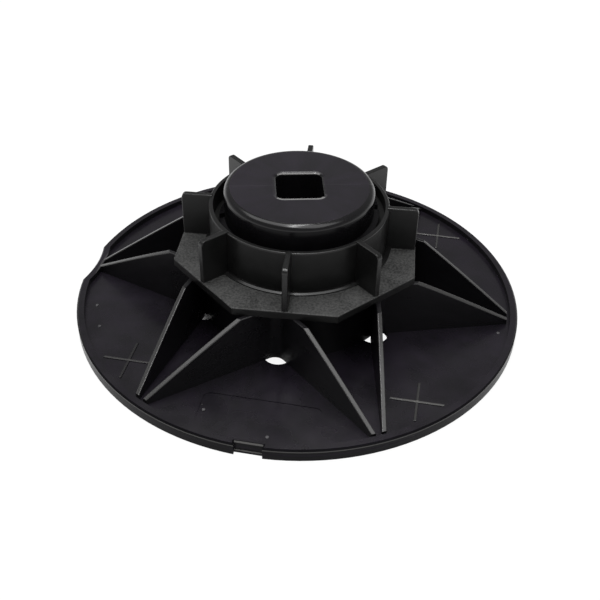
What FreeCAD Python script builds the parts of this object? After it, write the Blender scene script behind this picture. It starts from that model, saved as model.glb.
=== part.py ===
"""Adjustable deck pedestal: a ribbed base, a threaded adjusting collar and a hollow screw stem.

Millimetres and degrees, +Z up. The origin is on the ground at the middle of the base, and the
notch in the rim is at the front, towards -Y. The pedestal stands at its lowest height.
"""
import FreeCAD, Part
import math
import os

Vector = FreeCAD.Vector
UP = Vector(0, 0, 1)
CENTRE = Vector(0, 0, 0)
TINY = 1e-6
CLOSE = 1e-3

# Base plate and rim
base_radius = 100.0
plate_thickness = 3.0
rim_height = 5.6
rim_width = 3.3
rim_edge_bevel = 0.7

# Shallow hollow in the rim at the left, and the flat notch at the front with a low ledge in it
scallop_depth = 2.55
scallop_radius = 55.0
notch_width = 11.2
notch_depth = 1.5
notch_ledge_height = 1.3
notch_ledge_depth = 0.4

# Star of upright ribs: the two ribs of a point run together just past the rim's inner wall,
# and the star's inner corners stand off the collar's ring and meet the hub
star_points = 6
rib_thickness = 1.9
tip_reach = 2.1
corner_standoff = 5.6
corner_round = 4.6
shelf_height = 29.2
shelf_margin = 5.5
rib_end_gap = 1.4
rib_end_height = 5.4
rib_edge_round = 0.35
hub_wall = 1.9

# Round drain holes in the plate, under the inner corners of the star
drain_radius = 6.2
drain_inset = 0.3

# Raised cross marks, and the plain recessed panel in the front bay
mark_count = 4
mark_inset = 14.4
mark_length = 22.0
mark_width = 1.1
mark_height = 0.4
mark_edge_round = 0.25
panel_width = 48.6
panel_length = 17.0
panel_depth = 0.3
panel_corner = 3.0
panel_margin = 7.7

# Adjusting collar
collar_angle = 4.5
collar_sides = 8
flange_reach = 12.7
flange_thickness = 3.4
flange_edge_round = 0.4
shoulder_width = 2.1
shoulder_height = 0.6
ring_clearance = 1.85
ring_wall = 1.75
ring_rise = 19.75
ring_edge_round = 0.5
fin_thickness = 2.4
fin_rise = 0.55
fin_setback = 0.2
fin_corner_round = 2.0
fin_edge_round = 0.4
lip_depth = 5.0
lip_wall = 2.0
lip_clearance = 0.45

# Screw stem
stem_angle = 14.0
stem_radius = 32.3
stem_wall = 3.0
head_rise = 8.15
stem_edge_round = 3.0
stem_floor_clearance = 0.4
socket_side = 19.6
socket_corner = 3.0
socket_wall = 2.5
socket_depth = 22.0
socket_lip_round = 1.0

# Thread pair, right-handed
thread_pitch = 6.0
thread_height = 2.9
thread_crest_width = 1.7
thread_flank_angle = 13.0
thread_flank_clearance = 0.35
thread_root_clearance = 0.6
thread_end_angle = 100.0
thread_end_drop = 3.05
thread_start_rise = 3.1
thread_gap_width = 3.6

# Depth to which one feature is sunk into the one that carries it before they are joined
sink = 0.2

# Sizes that follow from the ones above, from the thread outwards and from the ground up
thread_crest_radius = stem_radius + thread_height
ring_inner_radius = thread_crest_radius + ring_clearance
ring_radius = ring_inner_radius + ring_wall
flange_apothem = ring_radius + flange_reach
shelf_radius = flange_apothem + shelf_margin
rim_inner_radius = base_radius - rim_width
flange_top = shelf_height + flange_thickness
ring_height = flange_top + ring_rise
stem_top = ring_height + head_rise
stem_bottom = plate_thickness + stem_floor_clearance
thread_end_height = ring_height - thread_end_drop


def polar(radius, angle):
    """Point in plan at a radius and an angle in degrees round the pedestal's axis."""
    turn = math.radians(angle)
    return Vector(radius * math.cos(turn), radius * math.sin(turn), 0)


def cylinder(radius, low, high, centre=CENTRE):
    """Upright cylinder between two heights."""
    return Part.makeCylinder(radius, high - low, centre + Vector(0, 0, low))


def tube(outer, inner, low, high):
    """Upright tube between two heights."""
    return cylinder(outer, low, high).cut(cylinder(inner, low, high))


def box(size_x, size_y, low, high, centre_x=0.0, centre_y=0.0):
    """Upright box between two heights, centred in plan."""
    corner = Vector(centre_x - size_x / 2, centre_y - size_y / 2, low)
    return Part.makeBox(size_x, size_y, high - low, corner)


def prism(points, low, high):
    """Upright prism over a closed outline of points in plan."""
    outline = [Vector(p.x, p.y, low) for p in points]
    face = Part.Face(Part.makePolygon(outline + outline[:1]))
    return face.extrude(Vector(0, 0, high - low))


def upright_edges(shape, radius=None):
    """Straight upright edges of a shape, all of them or those at one distance from the axis."""
    found = []
    for edge in shape.Edges:
        ends = [v.Point for v in edge.Vertexes]
        if len(ends) != 2 or abs(ends[0].z - ends[1].z) < TINY:
            continue
        if math.hypot(ends[0].x - ends[1].x, ends[0].y - ends[1].y) > TINY:
            continue
        if radius is None or abs(math.hypot(ends[0].x, ends[0].y) - radius) < CLOSE:
            found.append(edge)
    return found


def edges_at(shape, height):
    """Level edges of a shape at one height."""
    found = []
    for edge in shape.Edges:
        limits = edge.BoundBox
        if abs(limits.ZMin - height) < TINY and abs(limits.ZMax - height) < TINY:
            found.append(edge)
    return found


def rounded_box(size_x, size_y, corner, low, high, centre_x=0.0, centre_y=0.0):
    """Upright box with rounded corners in plan."""
    block = box(size_x, size_y, low, high, centre_x, centre_y)
    return block.makeFillet(corner, upright_edges(block))


def turned(shape, angle):
    """Copy of a shape turned about the pedestal's axis."""
    copy = shape.copy()
    copy.rotate(CENTRE, UP, angle)
    return copy


def spaced_round(shape, count):
    """Copies of a shape spaced evenly round the axis."""
    return [turned(shape, k * 360.0 / count) for k in range(count)]


star_step = 180.0 / star_points
inside_tip = Vector(rim_inner_radius + tip_reach, 0, 0)
star_corner = polar(ring_radius + corner_standoff, star_step)
rib_run = star_corner - inside_tip
tip_half_angle = rib_run.getAngle(-inside_tip) - math.asin(rib_thickness / rib_run.Length)
corner_half_angle = math.radians(star_step) + tip_half_angle
rib_face_distance = inside_tip.Length * math.sin(tip_half_angle) + rib_thickness


def star_prism(face_distance, round_radius, low, high):
    """Star-shaped prism with rounded inner corners, bounded by one side of the ribs."""
    tip = face_distance / math.sin(tip_half_angle)
    corner = face_distance / math.sin(corner_half_angle)
    points = []
    for k in range(star_points):
        points.append(polar(tip, 2 * k * star_step))
        points.append(polar(corner, (2 * k + 1) * star_step))
    star = prism(points, low, high)
    return star.makeFillet(round_radius, upright_edges(star, corner))


corner_fill = corner_round * (1 / math.sin(corner_half_angle) - 1)
hub_radius = star_corner.Length + corner_fill - rib_thickness + sink
hub_inner_radius = hub_radius - hub_wall
rib_end_radius = rim_inner_radius - rib_end_gap


def rib_envelope():
    """Revolved outline that the ribs are cut to: a level shelf, a straight slope and an upright end."""
    outline = [Vector(0, 0, 0), Vector(rib_end_radius, 0, 0), Vector(rib_end_radius, 0, rib_end_height),
               Vector(shelf_radius, 0, shelf_height), Vector(0, 0, shelf_height)]
    face = Part.Face(Part.makePolygon(outline + outline[:1]))
    return face.revolve(CENTRE, UP, 360)


def rib_top_edges(star):
    """Long edges of the rib tops, without the breaks where the shelf turns into the slope."""
    found = []
    for edge in star.Edges:
        ends = [v.Point for v in edge.Vertexes]
        reaches = [math.hypot(p.x, p.y) for p in ends]
        is_break = all(abs(reach - shelf_radius) < CLOSE for reach in reaches)
        is_foot = max(p.z for p in ends) < TINY
        is_end = min(reaches) > rib_end_radius - CLOSE
        upright = Vector(ends[0].x - ends[-1].x, ends[0].y - ends[-1].y, 0).Length < TINY
        if not (is_break or is_foot or is_end or upright):
            found.append(edge)
    return found


def rib_star():
    """Ribs of the star, joined at its inner corners, cut to the envelope and softened along the top."""
    outside = star_prism(rib_face_distance, corner_round, 0, shelf_height)
    inside = star_prism(rib_face_distance - rib_thickness, corner_round + rib_thickness, 0, shelf_height)
    star = outside.cut(inside).common(rib_envelope())
    return star.makeFillet(rib_edge_round, rib_top_edges(star))


def drain_hole():
    """Round hole through the plate, under the first inner corner of the star."""
    centre = polar(star_corner.Length - drain_inset, star_step)
    return cylinder(drain_radius, 0, plate_thickness, centre)


def cross_mark():
    """Two crossed low ridges on the plate, between the +X and +Y directions."""
    low = plate_thickness - sink
    high = plate_thickness + mark_height
    centre = polar(base_radius - mark_inset, 180.0 / mark_count)
    cross = box(mark_length, mark_width, low, high, centre.x, centre.y)
    cross = cross.fuse(box(mark_width, mark_length, low, high, centre.x, centre.y)).removeSplitter()
    return cross.makeFillet(mark_edge_round, edges_at(cross, high))


def make_base():
    """Round plate with its rim, marks, star of ribs, hub and drain holes."""
    scallop_centre = Vector(-(base_radius - scallop_depth + scallop_radius), 0, 0)
    blank = cylinder(base_radius, 0, rim_height)
    blank = blank.cut(cylinder(scallop_radius, 0, rim_height, scallop_centre))
    notch_face = base_radius - notch_depth
    notch = box(notch_width, 2 * notch_depth, 0, rim_height, 0, -notch_face - notch_depth)
    over_ledge = box(notch_width, 2 * notch_depth, notch_ledge_height, rim_height,
                     0, notch_ledge_depth - notch_face - notch_depth)
    blank = blank.cut([notch, over_ledge])
    blank = blank.makeChamfer(rim_edge_bevel, edges_at(blank, rim_height))
    tray = cylinder(rim_inner_radius, plate_thickness, rim_height)
    tray = tray.cut(cylinder(scallop_radius + rim_width, plate_thickness, rim_height, scallop_centre))
    plate = blank.cut(tray)
    panel_middle = panel_margin + panel_length / 2 - rim_inner_radius
    plate = plate.cut(rounded_box(panel_width, panel_length, panel_corner, plate_thickness - panel_depth,
                                  rim_height, 0, panel_middle))
    hub = tube(hub_radius, hub_inner_radius, plate_thickness - sink, shelf_height)
    base = plate.fuse([rib_star(), hub] + spaced_round(cross_mark(), mark_count))
    return base.cut(spaced_round(drain_hole(), star_points)).removeSplitter()


flank_slope = math.tan(math.radians(thread_flank_angle))


def thread_ridge(root, crest, width_at, start_height, end_height):
    """Helical ridge of trapezoid section between two heights, with its end at the thread's end angle."""
    length = end_height - start_height
    root_width = width_at(root)
    crest_width = width_at(crest)
    helix = Part.makeLongHelix(thread_pitch, length, stem_radius)
    outline = [Vector(root, 0, -root_width / 2), Vector(crest, 0, -crest_width / 2),
               Vector(crest, 0, crest_width / 2), Vector(root, 0, root_width / 2)]
    section = Part.makePolygon(outline + outline[:1])
    ridge = helix.makePipeShell([section], True, True)
    ridge.rotate(CENTRE, UP, thread_end_angle - 360.0 * length / thread_pitch)
    ridge.translate(Vector(0, 0, start_height))
    return ridge


def male_width(radius):
    """Width of the stem's thread ridge at a radius."""
    return thread_crest_width + 2 * flank_slope * (thread_crest_radius - radius)


def female_width(radius):
    """Width of the collar's thread ridge at a radius, clear of the stem's ridge on both flanks."""
    return thread_pitch - male_width(radius) - 2 * thread_flank_clearance


def stem_thread():
    """Thread of the stem, with the gaps that the two halves of its mould leave."""
    start = stem_bottom + thread_start_rise
    ridge = thread_ridge(stem_radius - sink, thread_crest_radius, male_width, start, thread_end_height)
    gap = box(4 * stem_radius, thread_gap_width, stem_bottom, stem_top)
    return ridge.cut(turned(gap, stem_angle))


def collar_thread():
    """Thread inside the collar's ring, half a pitch below the stem's thread."""
    root = ring_inner_radius + sink
    crest = stem_radius + thread_root_clearance
    start = shelf_height + female_width(root) / 2
    return thread_ridge(root, crest, female_width, start, thread_end_height - thread_pitch / 2)


def octagon(low, high):
    """Prism of the collar's flange, with the middle of one side on +X."""
    step = 360.0 / collar_sides
    corner = flange_apothem / math.cos(math.radians(step / 2))
    return prism([polar(corner, (k + 0.5) * step) for k in range(collar_sides)], low, high)


def grip_fin():
    """Upright fin from the ring to the edge of the flange, with a rounded outer corner."""
    inner = ring_radius - ring_wall / 2
    outer = flange_apothem - fin_setback
    low = flange_top - sink
    high = ring_height + fin_rise
    blade = box(outer - inner, fin_thickness, low, high, (inner + outer) / 2)
    corner = [e for e in edges_at(blade, high) if e.BoundBox.XMin > outer - TINY]
    blade = blade.makeFillet(fin_corner_round, corner)
    border = []
    for edge in blade.Edges:
        limits = edge.BoundBox
        on_side = abs(limits.YMax - limits.YMin) < TINY
        if on_side and limits.ZMax > low + TINY and limits.XMax > inner + TINY:
            border.append(edge)
    return blade.makeFillet(fin_edge_round, border)


def make_collar():
    """Flange, ring, inside thread, fins and the lip that centres it in the hub."""
    flange = octagon(shelf_height, flange_top)
    flange = flange.makeFillet(flange_edge_round, edges_at(flange, flange_top))
    shoulder = cylinder(ring_radius + shoulder_width, flange_top - sink, flange_top + shoulder_height)
    ring = cylinder(ring_radius, flange_top - sink, ring_height)
    ring = ring.makeFillet(ring_edge_round, edges_at(ring, ring_height))
    lip_radius = hub_inner_radius - lip_clearance
    lip = tube(lip_radius, lip_radius - lip_wall, shelf_height - lip_depth, shelf_height + sink)
    collar = flange.fuse([shoulder, ring, lip])
    collar = collar.cut(cylinder(ring_inner_radius, shelf_height - lip_depth, ring_height))
    collar = collar.fuse(spaced_round(grip_fin(), collar_sides)).removeSplitter()
    return turned(collar, collar_angle).fuse(collar_thread())


def make_stem():
    """Hollow stem with a rounded top, a square socket through it and an outside thread."""
    body = cylinder(stem_radius, stem_bottom, stem_top)
    body = body.makeFillet(stem_edge_round, edges_at(body, stem_top))
    body = body.cut(cylinder(stem_radius - stem_wall, stem_bottom, stem_top - stem_wall))
    well_side = socket_side + 2 * socket_wall
    well = rounded_box(well_side, well_side, socket_corner + socket_wall, stem_top - socket_depth,
                       stem_top - stem_wall + sink)
    hole = rounded_box(socket_side, socket_side, socket_corner, stem_top - socket_depth, stem_top)
    body = body.fuse(well).cut(hole)
    rim = [e for e in edges_at(body, stem_top) if e.BoundBox.DiagonalLength < stem_radius]
    body = body.makeFillet(socket_lip_round, rim)
    return turned(body, stem_angle).fuse(stem_thread())


os.makedirs("parts", exist_ok=True)
for name, shape in (("base", make_base()), ("adjusting_collar", make_collar()), ("screw_stem", make_stem())):
    shape.exportStep("parts/" + name + ".step")
    print(name, "solids", len(shape.Solids), "valid", shape.isValid(), "volume", round(shape.Volume, 1))
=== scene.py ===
"""Looks of an adjustable deck pedestal: moulded black plastic on a white studio floor."""
import logging
import math
from dataclasses import dataclass, field
from enum import Enum
from typing import Dict, List, Optional, Tuple, Union

import bpy
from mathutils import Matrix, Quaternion, Vector


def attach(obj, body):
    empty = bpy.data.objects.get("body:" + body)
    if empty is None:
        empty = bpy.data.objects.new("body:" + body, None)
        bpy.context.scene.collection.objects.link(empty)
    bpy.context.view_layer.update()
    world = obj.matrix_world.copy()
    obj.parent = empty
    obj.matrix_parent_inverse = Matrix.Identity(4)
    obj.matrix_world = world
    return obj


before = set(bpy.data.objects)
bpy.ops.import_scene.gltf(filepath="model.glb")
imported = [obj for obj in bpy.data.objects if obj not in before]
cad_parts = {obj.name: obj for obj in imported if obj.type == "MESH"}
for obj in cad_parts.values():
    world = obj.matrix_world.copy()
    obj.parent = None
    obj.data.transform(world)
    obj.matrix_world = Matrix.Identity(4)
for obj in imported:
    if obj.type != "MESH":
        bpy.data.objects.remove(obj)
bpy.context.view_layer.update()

logging.basicConfig(level=logging.INFO, format="%(name)s: %(message)s")
log = logging.getLogger("pedestal")

Colour = Tuple[float, float, float, float]
Limits = Tuple[float, float]
Value = Union["Wire", float, Tuple[float, ...]]

# Scale, detail and roughness of a noise.
Noise = Tuple[float, float, float]

# Detail and roughness of a noise whose scale is set apart.
NoiseForm = Tuple[float, float]

MM = 0.001
WHITE: Colour = (1.0, 1.0, 1.0, 1.0)

# Middle of a noise, which runs from 0 to 1.
MIDDLE = 0.5


class Body(Enum):
    """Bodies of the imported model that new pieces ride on."""

    BASE = "base"


class Node(Enum):
    """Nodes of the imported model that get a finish."""

    BASE = "base"
    COLLAR = "adjusting_collar"
    STEM = "screw_stem"


class Wire:
    """A shader socket whose arithmetic adds Math nodes to its graph."""

    def __init__(self, graph: "Graph", socket: Optional[bpy.types.NodeSocket]) -> None:
        """Keep the graph and the output socket.

        Args:
            graph: Graph that the socket belongs to.
            socket: Output socket of a node, or None after a node that ends the graph.
        """
        self.graph = graph
        self.socket = socket

    def _maths(self, operation: str, first: Value, second: Value = 0.0) -> "Wire":
        """One Math node on one or two values."""
        return self.graph.node("ShaderNodeMath", {"operation": operation}, {0: first, 1: second})

    def __add__(self, other: Value) -> "Wire":
        """Sum of two values."""
        return self._maths("ADD", self, other)

    def __radd__(self, other: Value) -> "Wire":
        """Sum with the other value on the left."""
        return self._maths("ADD", other, self)

    def __sub__(self, other: Value) -> "Wire":
        """Difference of two values."""
        return self._maths("SUBTRACT", self, other)

    def __rsub__(self, other: Value) -> "Wire":
        """Difference with the other value on the left."""
        return self._maths("SUBTRACT", other, self)

    def __mul__(self, other: Value) -> "Wire":
        """Product of two values."""
        return self._maths("MULTIPLY", self, other)

    def __rmul__(self, other: Value) -> "Wire":
        """Product with the other value on the left."""
        return self._maths("MULTIPLY", other, self)

    def __truediv__(self, other: Value) -> "Wire":
        """Quotient of two values."""
        return self._maths("DIVIDE", self, other)

    def __rtruediv__(self, other: Value) -> "Wire":
        """Quotient with the other value on the left."""
        return self._maths("DIVIDE", other, self)

    def __abs__(self) -> "Wire":
        """Size of a value without its sign."""
        return self._maths("ABSOLUTE", self)

    def peak(self, other: Value) -> "Wire":
        """The larger of two values."""
        return self._maths("MAXIMUM", self, other)

    def over(self, edge: Value) -> "Wire":
        """1 where the value is past an edge, otherwise 0."""
        return self._maths("GREATER_THAN", self, edge)

    def between(self, low: float, high: float) -> "Wire":
        """1 where the value lies in a band, otherwise 0."""
        return self.over(low) * (1.0 - self.over(high))

    def ramp(self, low: float, high: float) -> "Wire":
        """Smooth step from 0 at the first value to 1 at the second."""
        settings = {"interpolation_type": "SMOOTHSTEP"}
        return self.graph.node("ShaderNodeMapRange", settings, {0: self, 1: low, 2: high, 3: 0.0, 4: 1.0})


class Graph:
    """A node tree that is written as expressions."""

    def __init__(self, tree: bpy.types.NodeTree) -> None:
        """Start from an empty tree.

        Args:
            tree: Node tree of a material or of the world.
        """
        self.tree = tree
        tree.nodes.clear()

    def node(self, kind: str, settings: Dict[str, object], inputs: Dict[Union[int, str], Value],
             output: Union[int, str] = 0) -> Wire:
        """Add one node.

        Args:
            kind: Type of the node.
            settings: Its properties; "stops" holds a ramp's positions and colours.
            inputs: Values or wires by socket name or index.
            output: Socket that the wire starts from.

        Returns:
            Wire from the node's output.
        """
        made = self.tree.nodes.new(kind)
        for name, value in settings.items():
            if name == "stops":
                self._set_stops(made.color_ramp, value)
            else:
                setattr(made, name, value)
        for key, value in inputs.items():
            if isinstance(value, Wire):
                self.tree.links.new(value.socket, made.inputs[key])
            else:
                made.inputs[key].default_value = value
        return Wire(self, made.outputs[output] if made.outputs else None)

    @staticmethod
    def _set_stops(ramp: bpy.types.ColorRamp, stops: List[Tuple[float, Colour]]) -> None:
        """Give a colour ramp its stops.

        Args:
            ramp: Colour ramp of a new node.
            stops: Positions and colours, in rising order.
        """
        while len(ramp.elements) < len(stops):
            ramp.elements.new(1.0)
        for element, (position, colour) in zip(ramp.elements, stops):
            element.position = position
            element.color = colour

    def place(self) -> Wire:
        """Object coordinates, which are the part's own metres."""
        return self.node("ShaderNodeTexCoord", {}, {}, "Object")

    def split(self, vector: Wire) -> Tuple[Wire, Wire, Wire]:
        """Take a vector apart.

        Args:
            vector: Wire of a vector or a colour.

        Returns:
            Its three parts.
        """
        first = self.node("ShaderNodeSeparateXYZ", {}, {0: vector})
        outputs = first.socket.node.outputs
        return first, Wire(self, outputs[1]), Wire(self, outputs[2])

    def join(self, x: Value, y: Value, z: Value) -> Wire:
        """A vector from three values."""
        return self.node("ShaderNodeCombineXYZ", {}, {0: x, 1: y, 2: z})

    def reach(self, vector: Wire) -> Wire:
        """Distance from the upright axis."""
        x, y, _ = self.split(vector)
        return self.node("ShaderNodeVectorMath", {"operation": "LENGTH"}, {0: self.join(x, y, 0.0)}, "Value")

    def noise(self, vector: Wire, scale: float, detail: float, rough: float) -> Wire:
        """Noise between 0 and 1."""
        return self.node("ShaderNodeTexNoise", {"noise_dimensions": "3D"},
                         {"Vector": vector, "Scale": scale, "Detail": detail, "Roughness": rough})

    def mix(self, share: Value, low: Value, high: Value) -> Wire:
        """Colour between two colours."""
        return self.node("ShaderNodeMix", {"data_type": "RGBA"}, {0: share, 6: low, 7: high}, 2)

    def turn(self, vector: Wire, angle: float) -> Wire:
        """Coordinates turned about the upright axis, so that an angle comes to lie on +X."""
        return self.node("ShaderNodeMapping", {"vector_type": "POINT"},
                         {0: vector, "Rotation": (0.0, 0.0, -math.radians(angle))})


@dataclass(frozen=True)
class Scuffs:
    """Short scratches that run one way, in patches."""

    turn: float = 0.6
    stretch: Tuple[float, float, float] = (40.0, 900.0, 60.0)
    noise: Noise = (1.0, 2.0, 0.5)
    limits: Limits = (0.66, 0.78)
    patch_limits: Limits = (0.45, 0.7)

    def share(self, graph: Graph, place: Wire, patches: Wire) -> Wire:
        """Find the scratches.

        Args:
            graph: Graph of the material.
            place: Object coordinates.
            patches: Noise that says where the patches are.

        Returns:
            Strength of the scratches between 0 and 1.
        """
        drawn = graph.node("ShaderNodeMapping", {"vector_type": "POINT"},
                           {0: place, "Rotation": (0.0, 0.0, self.turn), "Scale": self.stretch})
        return graph.noise(drawn, *self.noise).ramp(*self.limits) * patches.ramp(*self.patch_limits)


@dataclass(frozen=True)
class DustSpecks:
    """Sparse small specks of dust."""

    scale: float = 170.0
    edge: Limits = (0.02, 0.06)
    rarity: float = 0.86

    def share(self, graph: Graph, place: Wire) -> Wire:
        """Find the specks.

        Args:
            graph: Graph of the material.
            place: Object coordinates.

        Returns:
            Strength of the specks between 0 and 1.
        """
        spots = graph.node("ShaderNodeTexVoronoi", {"feature": "F1"}, {"Vector": place, "Scale": self.scale})
        pick, strength, _ = graph.split(Wire(graph, spots.socket.node.outputs["Color"]))
        return (1.0 - spots.ramp(*self.edge)) * pick.over(self.rarity) * strength


@dataclass(frozen=True)
class MouldedPlastic:
    """Black moulded plastic: mould grain, flow streaks, scuffs and dust, with a painted sheen on the level
    faces.
    """

    name: str
    dark: Colour
    light: Colour
    roughness: float
    roughness_swing: float
    grain_scale: float
    grain_depth: float
    streak_count: float
    streak_depth: float
    dust: float
    level_bands: Tuple[Limits, ...]
    # Lighter colour of the level faces: a painted sheen where they catch the light, and the colour of the
    # scuffs.
    sheen_and_scuff_colour: Colour
    level_roughness: float
    level_grain: float
    speckle: float
    mottle: float
    wall_radii: Limits
    wall_heights: Limits
    gloss: float = 0.5
    wall_gloss: float = 0.16
    # Colour of the dust specks and of the painted highlights.
    dust_and_highlight_colour: Colour = (0.11, 0.108, 0.105, 1.0)
    scuffs: Scuffs = Scuffs()
    specks: DustSpecks = DustSpecks()
    grain_form: NoiseForm = (3.0, 0.65)
    grain_limits: Limits = (0.3, 0.7)
    streak_form: NoiseForm = (4.0, 0.6)
    streak_limits: Limits = (0.3, 0.75)
    streak_outward: float = 9.0
    streak_upward: float = 30.0
    axis_gap: float = 0.5 * MM
    cloud: Noise = (28.0, 3.0, 0.55)
    cloud_limits: Limits = (0.35, 0.7)
    blotch: Noise = (55.0, 3.0, 0.55)
    shade_streak: float = 0.6
    shade_cloud: float = 0.4
    shade_flow: float = 0.8
    shade_scuff: float = 0.2
    # Shares of the painted sheen on the level faces and of the scuffs.
    sheen_tone: float = 0.9
    sheen_share: float = 0.2
    worn_scuff: float = 0.6
    scuff_roughness: float = 0.08
    # Roughness taken off where a highlight is painted.
    highlight_polish: float = 0.2

    def streaks(self, graph: Graph, place: Wire) -> Wire:
        """Streaks that run outwards from the axis, as the melt flowed.

        Args:
            graph: Graph of the material.
            place: Object coordinates.

        Returns:
            Streak strength between 0 and 1.
        """
        x, y, z = graph.split(place)
        reach = graph.reach(place)
        safe = reach + self.axis_gap
        flow = graph.join(x / safe, y / safe, reach * self.streak_outward + z * self.streak_upward)
        return graph.noise(flow, self.streak_count, *self.streak_form)

    def level(self, graph: Graph, place: Wire) -> Wire:
        """Find the wide level faces, which lie in thin bands of heights.

        Args:
            graph: Graph of the material.
            place: Object coordinates.

        Returns:
            1 on a level face and 0 elsewhere.
        """
        _, _, height = graph.split(place)
        bands = [height.between(*band) for band in self.level_bands]
        share = bands[0]
        for band in bands[1:]:
            share = share + band
        return share

    def wall(self, graph: Graph, place: Wire) -> Wire:
        """1 on the round upright wall, which is duller, and 0 elsewhere."""
        _, _, height = graph.split(place)
        return graph.reach(place).between(*self.wall_radii) * height.between(*self.wall_heights)

    def extra_height(self, graph: Graph, place: Wire) -> Optional[Wire]:
        """Height of marks that only this finish has."""
        return None

    def painted_highlight(self, graph: Graph, place: Wire) -> Optional[Wire]:
        """Share of painted highlight, a lighter colour, that only this finish has."""
        return None

    def material(self) -> bpy.types.Material:
        """Make the material.

        Returns:
            Node material of this finish.
        """
        made = bpy.data.materials.new(self.name)
        made.use_nodes = True
        graph = Graph(made.node_tree)
        place = graph.place()
        streak = self.streaks(graph, place)
        grain = graph.noise(place, self.grain_scale, *self.grain_form)
        cloud = graph.noise(place, *self.cloud)
        level = self.level(graph, place)
        scuff = self.scuffs.share(graph, place, cloud) * level
        dust = self.specks.share(graph, place) * self.dust * level
        rubbed = self.painted_highlight(graph, place)

        flow = streak.ramp(*self.streak_limits) * self.shade_streak
        flow = flow + cloud.ramp(*self.cloud_limits) * self.shade_cloud
        shade = flow * self.shade_flow + scuff * self.shade_scuff
        speckle = (grain.ramp(*self.grain_limits) - MIDDLE) * self.speckle
        # Level faces get the lighter level colour, a painted sheen, varied by random tone, grain speckle and
        # scuffs.
        sheen_and_scuff = level * (shade * self.sheen_tone + speckle + self.sheen_share) + scuff * self.worn_scuff
        colour = graph.mix(sheen_and_scuff, graph.mix(shade, self.dark, self.light), self.sheen_and_scuff_colour)
        colour = graph.mix(dust, colour, self.dust_and_highlight_colour)
        # Painted highlight: the lighter colour on edges that catch the light.
        if rubbed is not None:
            colour = graph.mix(rubbed, colour, self.dust_and_highlight_colour)

        swing = (streak - MIDDLE) * self.roughness_swing + (cloud - MIDDLE) * self.roughness_swing
        blotch = graph.noise(place, *self.blotch) - MIDDLE
        level_part = blotch * self.mottle + (self.level_roughness - self.roughness)
        roughness = swing + self.roughness + level * level_part + scuff * self.scuff_roughness
        if rubbed is not None:
            roughness = roughness - rubbed * self.highlight_polish

        height = grain * (level * (self.level_grain - self.grain_depth) + self.grain_depth)
        height = height + streak * self.streak_depth
        extra = self.extra_height(graph, place)
        if extra is not None:
            height = height + extra
        bump = graph.node("ShaderNodeBump", {}, {"Strength": 1.0, "Distance": MM, "Height": height})

        satin, dull = (graph.node("ShaderNodeBsdfPrincipled", {},
                                  {"Base Color": colour, "Roughness": roughness, "Normal": bump,
                                   "Specular IOR Level": gloss}) for gloss in (self.gloss, self.wall_gloss))
        surface = graph.node("ShaderNodeMixShader", {}, {0: self.wall(graph, place), 1: satin, 2: dull})
        graph.node("ShaderNodeOutputMaterial", {}, {"Surface": surface})
        return made


@dataclass(frozen=True)
class WeldedPlastic(MouldedPlastic):
    """Moulded plastic of the head.

    The socket's soft lip has a painted highlight, a lighter colour on its front and back. A fine line shows
    where the melt closed round it.
    """

    weld_angle: float = 14.0
    weld_width: float = 0.35 * MM
    weld_height: float = 0.03
    weld_wander: float = 0.8 * MM
    wander: Noise = (160.0, 2.0, 0.5)
    lip_square: float = 6.8 * MM
    lip_reach: Limits = (5.0 * MM, 3.4 * MM)
    lip_drop: float = 0.5
    # Where the lips get the painted highlight, and how strong.
    highlight_reach: Limits = (5.0 * MM, 4.4 * MM)
    highlight_back: float = 1.1 * MM
    highlight_floor: float = 60.0 * MM
    rubbed: float = 0.9

    def from_socket(self, graph: Graph, along: Wire, across: Wire) -> Wire:
        """Distance from a smaller square inside the socket, so that its corners stay round."""
        past = [(abs(part) - self.lip_square).peak(0.0) for part in (along, across)]
        return graph.reach(graph.join(past[0], past[1], 0.0))

    def extra_height(self, graph: Graph, place: Wire) -> Optional[Wire]:
        """Shape the weld line across the head, and the drop towards the socket.

        Args:
            graph: Graph of the material.
            place: Object coordinates.

        Returns:
            Height in millimetres.
        """
        along, across, _ = graph.split(graph.turn(place, self.weld_angle))
        wander = (graph.noise(place, *self.wander) - MIDDLE) * self.weld_wander
        weld = (1.0 - abs(across + wander).ramp(0.0, self.weld_width)) * self.weld_height
        return weld - self.from_socket(graph, along, across).ramp(*self.lip_reach) * self.lip_drop

    def painted_highlight(self, graph: Graph, place: Wire) -> Optional[Wire]:
        """Find the two lips that get a painted highlight.

        Args:
            graph: Graph of the material.
            place: Object coordinates.

        Returns:
            Share of rubbed plastic.
        """
        along, across, height = graph.split(graph.turn(place, self.weld_angle))
        distance = self.from_socket(graph, along, across) + across.over(0.0) * self.highlight_back
        lip = distance.ramp(*self.highlight_reach) * height.over(self.highlight_floor)
        return lip * abs(across).over(abs(along)) * self.rubbed


@dataclass(frozen=True)
class FootedPlastic(MouldedPlastic):
    """Moulded plastic whose ring meets the flange in a soft hollow."""

    foot_reach: Limits = (41.2 * MM, 39.0 * MM)
    foot_top: float = 33.4 * MM
    foot_rise: float = 1.0

    def extra_height(self, graph: Graph, place: Wire) -> Optional[Wire]:
        """Height of the hollow at the foot of the ring, in millimetres."""
        _, _, height = graph.split(place)
        return graph.reach(place).ramp(*self.foot_reach) * (1.0 - height.over(self.foot_top)) * self.foot_rise


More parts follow.
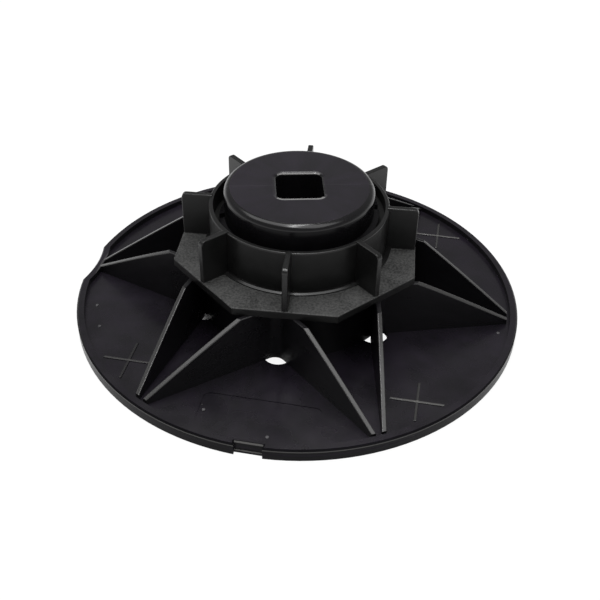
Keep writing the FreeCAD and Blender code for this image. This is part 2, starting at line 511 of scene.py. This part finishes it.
@dataclass(frozen=True)
class MarkedPlastic(MouldedPlastic):
    """Moulded plastic of the base, with painted highlights on its raised edges.

    The cross marks get the painted highlight most on the bars that run left to right, and more on the right
    side than the left.
    """

    bar_distance: float = 60.53 * MM
    bar_half_width: float = 0.62 * MM
    bar_solid_share: float = 0.6
    bar_start_share: float = 0.7
    bar_heights: Limits = (3.2 * MM, 3.5 * MM)
    # Strength of the painted highlight on the cross marks' bars.
    bar_highlight_left: float = 0.3
    bar_highlight_right: float = 0.75
    bar_highlight_upright: float = 0.35
    rib_radii: Limits = (57.0 * MM, 95.3 * MM)
    rib_heights: Limits = (29.2 * MM, 5.4 * MM)
    # Painted highlight on the rib tops, the line below the rim's bevel and the notch's edges.
    rib_highlight_depth: float = 0.3 * MM
    rib_highlight_share: float = 0.28
    rim_line: Limits = (4.3 * MM, 4.85 * MM)
    rim_radius: float = 99.0 * MM
    rim_highlight_share: float = 0.6
    notch_edge: float = 97.6 * MM
    notch_half_width: float = 5.6 * MM
    notch_lines: Tuple[Limits, ...] = ((4.9 * MM, 5.7 * MM), (1.0 * MM, 1.35 * MM))
    notch_highlight_share: float = 0.8

    def bar_highlights(self, graph: Graph, place: Wire) -> Wire:
        """Find the tops of the cross marks, for a painted highlight.

        Args:
            graph: Graph of the material.
            place: Object coordinates.

        Returns:
            Share of rubbed plastic.
        """
        x, y, height = graph.split(place)
        solid = self.bar_solid_share * self.bar_half_width
        start = self.bar_start_share * self.bar_distance
        level, upright = (
            abs(abs(across) - self.bar_distance).ramp(self.bar_half_width, solid) * abs(along).over(start)
            for along, across in ((x, y), (y, x)))
        share = x.over(0.0) * (self.bar_highlight_right - self.bar_highlight_left) + self.bar_highlight_left
        return (level + upright * self.bar_highlight_upright) * height.between(*self.bar_heights) * share

    def rib_highlights(self, graph: Graph, place: Wire) -> Wire:
        """Find the sloping tops of the ribs, for a painted highlight.

        Args:
            graph: Graph of the material.
            place: Object coordinates.

        Returns:
            Share of rubbed plastic.
        """
        _, _, height = graph.split(place)
        reach = graph.reach(place)
        slope = (self.rib_heights[1] - self.rib_heights[0]) / (self.rib_radii[1] - self.rib_radii[0])
        top = (reach - self.rib_radii[0]) * slope + self.rib_heights[0]
        return height.over(top - self.rib_highlight_depth) * reach.between(*self.rib_radii) * self.rib_highlight_share

    def rim_highlights(self, graph: Graph, place: Wire) -> Wire:
        """Find the line below the rim's bevel and the edges of the notch, for a painted highlight.

        Args:
            graph: Graph of the material.
            place: Object coordinates.

        Returns:
            Share of rubbed plastic.
        """
        x, y, height = graph.split(place)
        share = height.between(*self.rim_line) * graph.reach(place).over(self.rim_radius) * self.rim_highlight_share
        beside = abs(x).over(self.notch_half_width)
        notch = (1.0 - y.over(-self.notch_edge)) * (1.0 - beside) * self.notch_highlight_share
        for line in self.notch_lines:
            share = share + notch * height.between(*line)
        return share

    def painted_highlight(self, graph: Graph, place: Wire) -> Optional[Wire]:
        """Share of painted highlight on the cross marks, the ribs and the rim."""
        return self.bar_highlights(graph, place) + self.rib_highlights(graph, place) + self.rim_highlights(graph, place)


# Each finish's level colour is a painted sheen on its level faces.
BASE_FINISH = MarkedPlastic(
    name="base_black_plastic", dark=(0.0042, 0.004, 0.0048, 1.0), light=(0.0078, 0.0073, 0.0088, 1.0),
    roughness=0.28, roughness_swing=0.04, grain_scale=1500.0, grain_depth=0.006,
    streak_count=9.0, streak_depth=0.003, dust=0.8,
    level_bands=((2.5 * MM, 3.2 * MM), (5.5 * MM, 5.7 * MM)), sheen_and_scuff_colour=(0.0092, 0.0064, 0.0122, 1.0),
    level_roughness=0.28, level_grain=0.01, speckle=0.35, mottle=0.3,
    wall_radii=(97.4 * MM, 101.0 * MM), wall_heights=(-1.0 * MM, 5.58 * MM), gloss=0.45, wall_gloss=0.06)
COLLAR_FINISH = FootedPlastic(
    name="collar_grained_plastic", dark=(0.0038, 0.0038, 0.0038, 1.0), light=(0.0072, 0.0072, 0.0072, 1.0),
    roughness=0.3, roughness_swing=0.08, grain_scale=1100.0, grain_depth=0.012,
    streak_count=6.0, streak_depth=0.003, dust=0.5,
    level_bands=((32.4 * MM, 32.75 * MM),), sheen_and_scuff_colour=(0.051, 0.0514, 0.0502, 1.0),
    level_roughness=0.58, level_grain=0.06, speckle=0.9, mottle=0.1,
    wall_radii=(33.0 * MM, 39.2 * MM), wall_heights=(34.0 * MM, 51.6 * MM), gloss=0.45, wall_gloss=0.24)
# The ejector discs' colours, far lighter than the base, are a painted highlight.
MARK_FINISH = MouldedPlastic(
    name="ejector_highlight_plastic", dark=(0.03, 0.029, 0.031, 1.0), light=(0.06, 0.058, 0.062, 1.0),
    roughness=0.35, roughness_swing=0.08, grain_scale=1500.0, grain_depth=0.008,
    streak_count=9.0, streak_depth=0.0, dust=0.0,
    level_bands=((3.0 * MM, 3.3 * MM),), sheen_and_scuff_colour=(0.09, 0.087, 0.092, 1.0),
    level_roughness=0.4, level_grain=0.01, speckle=0.2, mottle=0.0,
    wall_radii=(0.0, 0.0), wall_heights=(0.0, 0.0))
STEM_FINISH = WeldedPlastic(
    name="stem_satin_plastic", dark=(0.0042, 0.004, 0.0046, 1.0), light=(0.0078, 0.0074, 0.0084, 1.0),
    roughness=0.2, roughness_swing=0.06, grain_scale=1700.0, grain_depth=0.004,
    streak_count=5.0, streak_depth=0.003, dust=0.2,
    level_bands=((60.47 * MM, 60.6 * MM),), sheen_and_scuff_colour=(0.0118, 0.0084, 0.0158, 1.0),
    level_roughness=0.33, level_grain=0.01, speckle=0.3, mottle=0.2,
    wall_radii=(31.6 * MM, 36.0 * MM), wall_heights=(0.0, 58.2 * MM), gloss=0.4, wall_gloss=0.1,
    dust_and_highlight_colour=(0.2, 0.197, 0.195, 1.0))


@dataclass
class EjectorMarks:
    """Small raised discs that the mould's pins leave on the plate."""

    radius: float = 0.7 * MM
    height: float = 0.16 * MM
    sunk: float = 0.1 * MM
    edge: float = 0.1 * MM
    edge_segments: int = 2
    sides: int = 20
    top_normal: float = 0.9
    plate_top: float = 3.0 * MM
    places_mm: Tuple[Tuple[float, float], ...] = (
        (-87.0, -28.0), (-80.6, -41.8), (70.7, 34.4), (91.9, -10.2), (5.7, -91.3), (-22.1, -82.0))
    made: List[bpy.types.Object] = field(default_factory=list)

    def build(self) -> None:
        """Model one disc and copy it to each place."""
        bpy.ops.object.select_all(action="DESELECT")
        depth = self.height + self.sunk
        bpy.ops.mesh.primitive_cylinder_add(vertices=self.sides, radius=self.radius, depth=depth,
                                            location=(0.0, 0.0, self.plate_top + self.height - depth / 2))
        first = bpy.context.object
        bpy.ops.object.transform_apply(location=True)
        bpy.ops.object.mode_set(mode="EDIT")
        bpy.ops.mesh.select_all(action="DESELECT")
        bpy.ops.object.mode_set(mode="OBJECT")
        for polygon in first.data.polygons:
            polygon.select = polygon.normal.z > self.top_normal
        bpy.ops.object.mode_set(mode="EDIT")
        bpy.ops.mesh.bevel(offset=self.edge, segments=self.edge_segments, affect="EDGES")
        bpy.ops.object.mode_set(mode="OBJECT")
        for index, (x, y) in enumerate(self.places_mm, start=1):
            copy = first.copy()
            copy.data = first.data.copy()
            copy.name = "ejector_mark_%d" % index
            copy.data.name = copy.name
            bpy.context.collection.objects.link(copy)
            copy.location = (x * MM, y * MM, 0.0)
            bpy.ops.object.select_all(action="DESELECT")
            copy.select_set(True)
            bpy.context.view_layer.objects.active = copy
            bpy.ops.object.transform_apply(location=True)
            self.made.append(copy)
        bpy.data.objects.remove(first)

    def dress(self, material: bpy.types.Material) -> None:
        """Give the discs their lighter plastic, a painted highlight, and join them to the base.

        Args:
            material: Lighter plastic with a painted highlight.
        """
        for piece in self.made:
            piece.data.materials.clear()
            piece.data.materials.append(material)
            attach(piece, Body.BASE.value)
            log.info("piece %s", piece.name)


@dataclass
class Pedestal:
    """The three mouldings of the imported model, with the marks on the base."""

    marks: EjectorMarks = field(default_factory=EjectorMarks)

    def build(self) -> None:
        """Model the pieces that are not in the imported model."""
        self.marks.build()

    def dress(self) -> None:
        """Give each moulding its plastic."""
        finishes = {Node.BASE: BASE_FINISH, Node.COLLAR: COLLAR_FINISH, Node.STEM: STEM_FINISH}
        for node, finish in finishes.items():
            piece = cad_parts[node.value]
            piece.data.materials.clear()
            piece.data.materials.append(finish.material())
            log.info("piece %s", piece.name)
        self.marks.dress(MARK_FINISH.material())


@dataclass
class Softbox:
    """One soft studio lamp."""

    name: str
    location: Tuple[float, float, float]
    size: Tuple[float, float]
    radiance: float

    def build(self) -> None:
        """Hang the lamp and aim it at the pedestal."""
        bpy.ops.object.light_add(type="AREA", location=self.location)
        lamp = bpy.context.object
        lamp.name = self.name
        lamp.data.shape = "RECTANGLE"
        lamp.data.size, lamp.data.size_y = self.size
        lamp.data.energy = self.radiance * math.pi * self.size[0] * self.size[1]
        lamp.rotation_mode = "QUATERNION"
        lamp.rotation_quaternion = (-Vector(self.location)).to_track_quat("-Z", "Y")


@dataclass
class Studio:
    """White floor, soft surroundings and lamps."""

    floor_size: float = 60.0
    floor_drop: float = 0.05 * MM
    floor_bounce: Colour = (0.8, 0.8, 0.8, 1.0)
    floor_shadow: Colour = (0.12, 0.12, 0.12, 1.0)
    floor_glow: float = 0.9
    floor_covered: float = 98.0 * MM
    floor_dim: Limits = (-5.0 * MM, -30.0 * MM)
    lamps: List[Softbox] = field(default_factory=lambda: [
        Softbox(name="softbox_overhead", location=(-0.05, -0.15, 1.2), size=(2.1, 0.9), radiance=2.5),
        Softbox(name="strip_overhead", location=(-0.05, 0.0, 1.15), size=(1.2, 0.06), radiance=24.0),
    ])
    # Height of a direction, 0 at the horizon and 1 overhead, and the colour there.
    sky: List[Tuple[float, Colour]] = field(default_factory=lambda: [
        (0.0, (0.95, 0.95, 0.95, 1.0)), (0.1, (0.7, 0.7, 0.7, 1.0)), (0.22, (0.3, 0.3, 0.3, 1.0)),
        (0.75, (0.25, 0.25, 0.25, 1.0)), (1.0, (0.3, 0.3, 0.3, 1.0))])

    def build(self) -> None:
        """Make the floor, the surroundings and the lamps."""
        bpy.ops.object.select_all(action="DESELECT")
        bpy.ops.mesh.primitive_plane_add(size=self.floor_size, location=(0.0, 0.0, -self.floor_drop))
        floor = bpy.context.object
        floor.name = "floor"
        floor.data.materials.append(self.floor_material())
        self.surroundings()
        for lamp in self.lamps:
            lamp.build()

    def floor_material(self) -> bpy.types.Material:
        """Make the white floor that keeps the shadow.

        Under the base it gives no white to reflections, and under the base's left side it is dark.

        Returns:
            Material of the floor.
        """
        made = bpy.data.materials.new("studio_floor")
        made.use_nodes = True
        graph = Graph(made.node_tree)
        place = graph.place()
        x, _, _ = graph.split(place)
        covered = 1.0 - graph.reach(place).over(self.floor_covered)
        rays = graph.node("ShaderNodeLightPath", {}, {}, "Is Camera Ray")
        outputs = rays.socket.node.outputs
        indirect = Wire(graph, outputs["Is Glossy Ray"]) + Wire(graph, outputs["Is Transmission Ray"])
        seen = rays * (1.0 - covered * x.ramp(*self.floor_dim)) + indirect * (1.0 - covered)
        bounce = graph.node("ShaderNodeBsdfDiffuse", {}, {"Color": self.floor_bounce})
        shadow = graph.node("ShaderNodeBsdfDiffuse", {}, {"Color": self.floor_shadow})
        glow = graph.node("ShaderNodeEmission", {}, {"Color": WHITE, "Strength": self.floor_glow})
        white = graph.node("ShaderNodeAddShader", {}, {0: shadow, 1: glow})
        surface = graph.node("ShaderNodeMixShader", {}, {0: seen, 1: bounce, 2: white})
        graph.node("ShaderNodeOutputMaterial", {}, {"Surface": surface})
        return made

    def surroundings(self) -> None:
        """Make the soft surroundings, white at the horizon and greyer above."""
        world = bpy.data.worlds.new("studio")
        bpy.context.scene.world = world
        world.use_nodes = True
        graph = Graph(world.node_tree)
        toward = graph.node("ShaderNodeTexCoord", {}, {}, "Generated")
        _, _, height = graph.split(toward)
        sky = graph.node("ShaderNodeValToRGB", {"stops": self.sky}, {0: height})
        light = graph.node("ShaderNodeBackground", {}, {"Color": sky, "Strength": 1.0})
        graph.node("ShaderNodeOutputWorld", {}, {"Surface": light})


@dataclass
class PhotoCamera:
    """Camera at the photograph's angle, from a fit of the base's outline and the collar."""

    frame_pixels: float = 600.0
    focal_pixels: float = 893.4
    sensor_width: float = 36.0
    azimuth: float = 10.2
    elevation: float = 38.09
    distance: float = 0.4159
    roll: float = 1.13
    aim_pixel: Tuple[float, float] = (297.4, 297.6)
    clip_start: float = 0.01

    def build(self) -> None:
        """Place the camera and make it the scene's own."""
        turn, rise = math.radians(self.azimuth), math.radians(self.elevation)
        back = Vector((math.sin(turn) * math.cos(rise), -math.cos(turn) * math.cos(rise), math.sin(rise)))
        bpy.ops.object.camera_add(location=back * self.distance)
        camera = bpy.context.object
        camera.name = "photo_camera"
        camera.rotation_mode = "QUATERNION"
        level = (-back).to_track_quat("-Z", "Y")
        camera.rotation_quaternion = level @ Quaternion((0.0, 0.0, 1.0), math.radians(self.roll))
        camera.data.sensor_width = self.sensor_width
        camera.data.lens = self.sensor_width * self.focal_pixels / self.frame_pixels
        middle = self.frame_pixels / 2
        camera.data.shift_x = (middle - self.aim_pixel[0]) / self.frame_pixels
        camera.data.shift_y = (self.aim_pixel[1] - middle) / self.frame_pixels
        camera.data.clip_start = self.clip_start
        bpy.context.scene.camera = camera


def main() -> None:
    """Build the pedestal's looks, the studio and the camera."""
    bpy.context.scene.view_settings.view_transform = "Standard"
    pedestal = Pedestal()
    pedestal.build()
    pedestal.dress()
    Studio().build()
    PhotoCamera().build()


if __name__ == "__main__":
    main()
